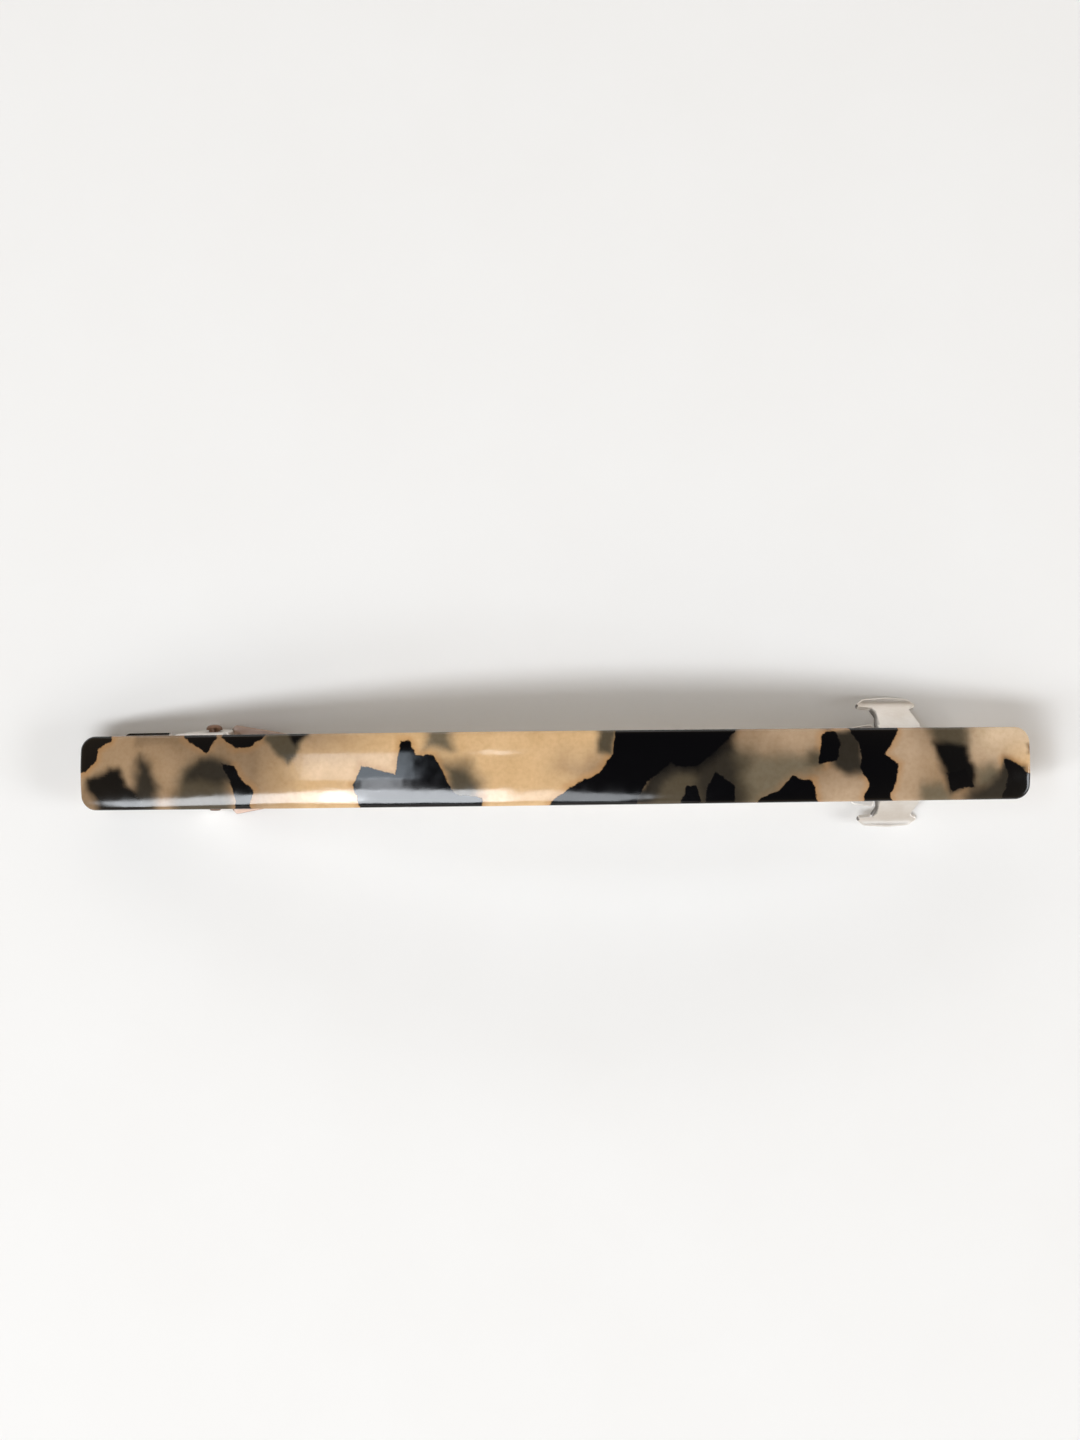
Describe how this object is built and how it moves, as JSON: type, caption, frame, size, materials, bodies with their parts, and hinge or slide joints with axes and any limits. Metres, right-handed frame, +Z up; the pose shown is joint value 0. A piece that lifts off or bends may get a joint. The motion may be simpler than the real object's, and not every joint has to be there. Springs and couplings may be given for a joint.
{
  "type": "barrette",
  "caption": "Long slim arched tortoiseshell hair barrette on a hinged steel snap clip with sprung squeeze ears and a tension bow.",
  "frame": {"origin": "on the table under the middle of the barrette's box, lying as it is put down, polished face up", "axes": "+X along the bar from the hinge end to the latch end, +Y across the bar towards the side of the hinge pin's head, +Z up out of the polished face"},
  "size_m": [0.1, 0.014, 0.0148],
  "materials": {
    "tortoiseshell": "polished cellulose acetate, honey with dark brown chips",
    "clip_steel": "satin nickel plate",
    "pin_steel": "dull, slightly darkened",
    "spring_steel": "bright nickel plate",
    "stud_brass": "plain turned"
  },
  "bodies": {
    "bar": {"acetate_bar": "tortoiseshell", "base_plate": "clip_steel", "hinge_pin": "pin_steel", "stud_hinge_end": "stud_brass", "stud_middle": "stud_brass", "stud_latch_end": "stud_brass"},
    "arm": {"clasp_arm": "clip_steel"},
    "bow": {"tension_bow": "spring_steel"},
    "ear_rear": {"latch_ear_rear": "clip_steel"},
    "ear_front": {"latch_ear_front": "clip_steel"}
  },
  "joints": [
    {"name": "arm_hinge", "type": "hinge", "parent": "arm", "child": "bar", "pos_m": [-0.03583, 0, 0.00224], "axis": [0, -1, 0], "range_deg": [0, 75]},
    {"name": "bow_flex", "type": "hinge", "parent": "bar", "child": "bow", "pos_m": [-0.03583, 0, 0.00224], "axis": [0, 1, 0], "range_deg": [0, 2.5]},
    {"name": "ear_rear_squeeze", "type": "hinge", "parent": "bar", "child": "ear_rear", "pos_m": [0.03705, 0.00303, 0.0077], "axis": [-0.9762, 0, 0.2167], "range_deg": [0, 8], "stiffness_Nm_per_rad": 0.05},
    {"name": "ear_front_squeeze", "type": "hinge", "parent": "bar", "child": "ear_front", "pos_m": [0.03705, -0.00303, 0.0077], "axis": [0.9762, 0, -0.2167], "range_deg": [0, 8], "stiffness_Nm_per_rad": 0.05}
  ],
  "couplings": [
    {"joint": "bow_flex", "follows": "arm_hinge", "ratio": 0.0333}
  ]
}
